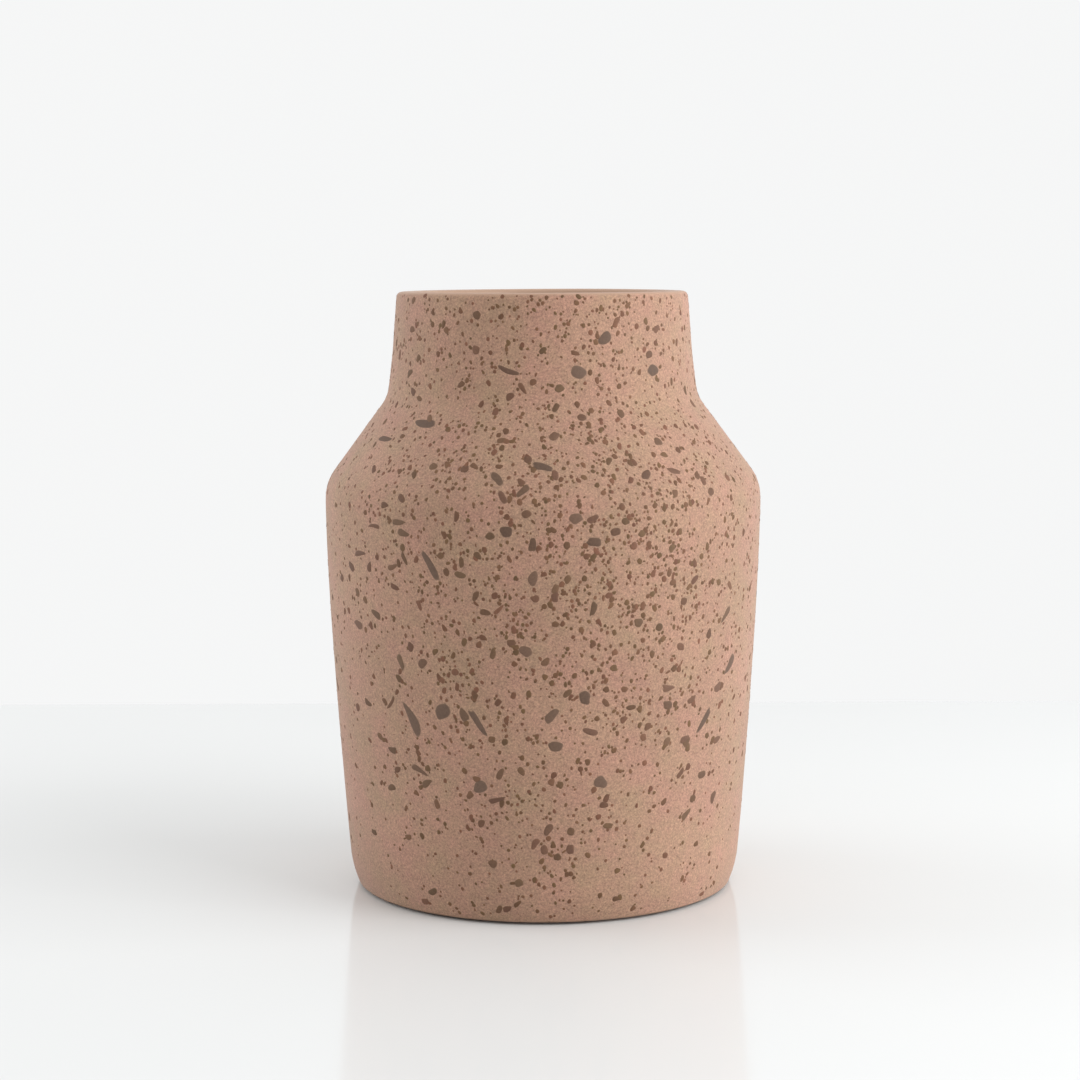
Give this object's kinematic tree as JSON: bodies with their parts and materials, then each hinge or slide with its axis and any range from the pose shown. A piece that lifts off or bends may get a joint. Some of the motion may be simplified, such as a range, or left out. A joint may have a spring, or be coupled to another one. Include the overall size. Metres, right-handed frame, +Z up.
{
  "type": "ceramic vase",
  "caption": "Round stoneware vase with a tapered body, conical shoulder and wide low neck, matte pinkish-tan slip with raised dark splatter, glazed inside, on thin foot pads.",
  "frame": {"origin": "middle of the base, on the table under the foot pads", "axes": "+Z up along the vase's axis of turning; +X and +Y level, with the pads on the diagonals between them, and -Y towards the viewer of the front"},
  "size_m": [0.146, 0.146, 0.2],
  "materials": {
    "fired_clay": "matte, unglazed",
    "matte_slip": "matte, fine-grained",
    "liner_glaze": "satin glaze",
    "splatter": "satin, raised drops",
    "pad": "matte foam rubber"
  },
  "bodies": {
    "root": {"clay_body": "fired_clay", "outer_slip": "matte_slip", "liner_glaze": "liner_glaze", "splatter_drops": "splatter", "foot_pad_1": "pad", "foot_pad_2": "pad", "foot_pad_3": "pad", "foot_pad_4": "pad"}
  },
  "joints": []
}
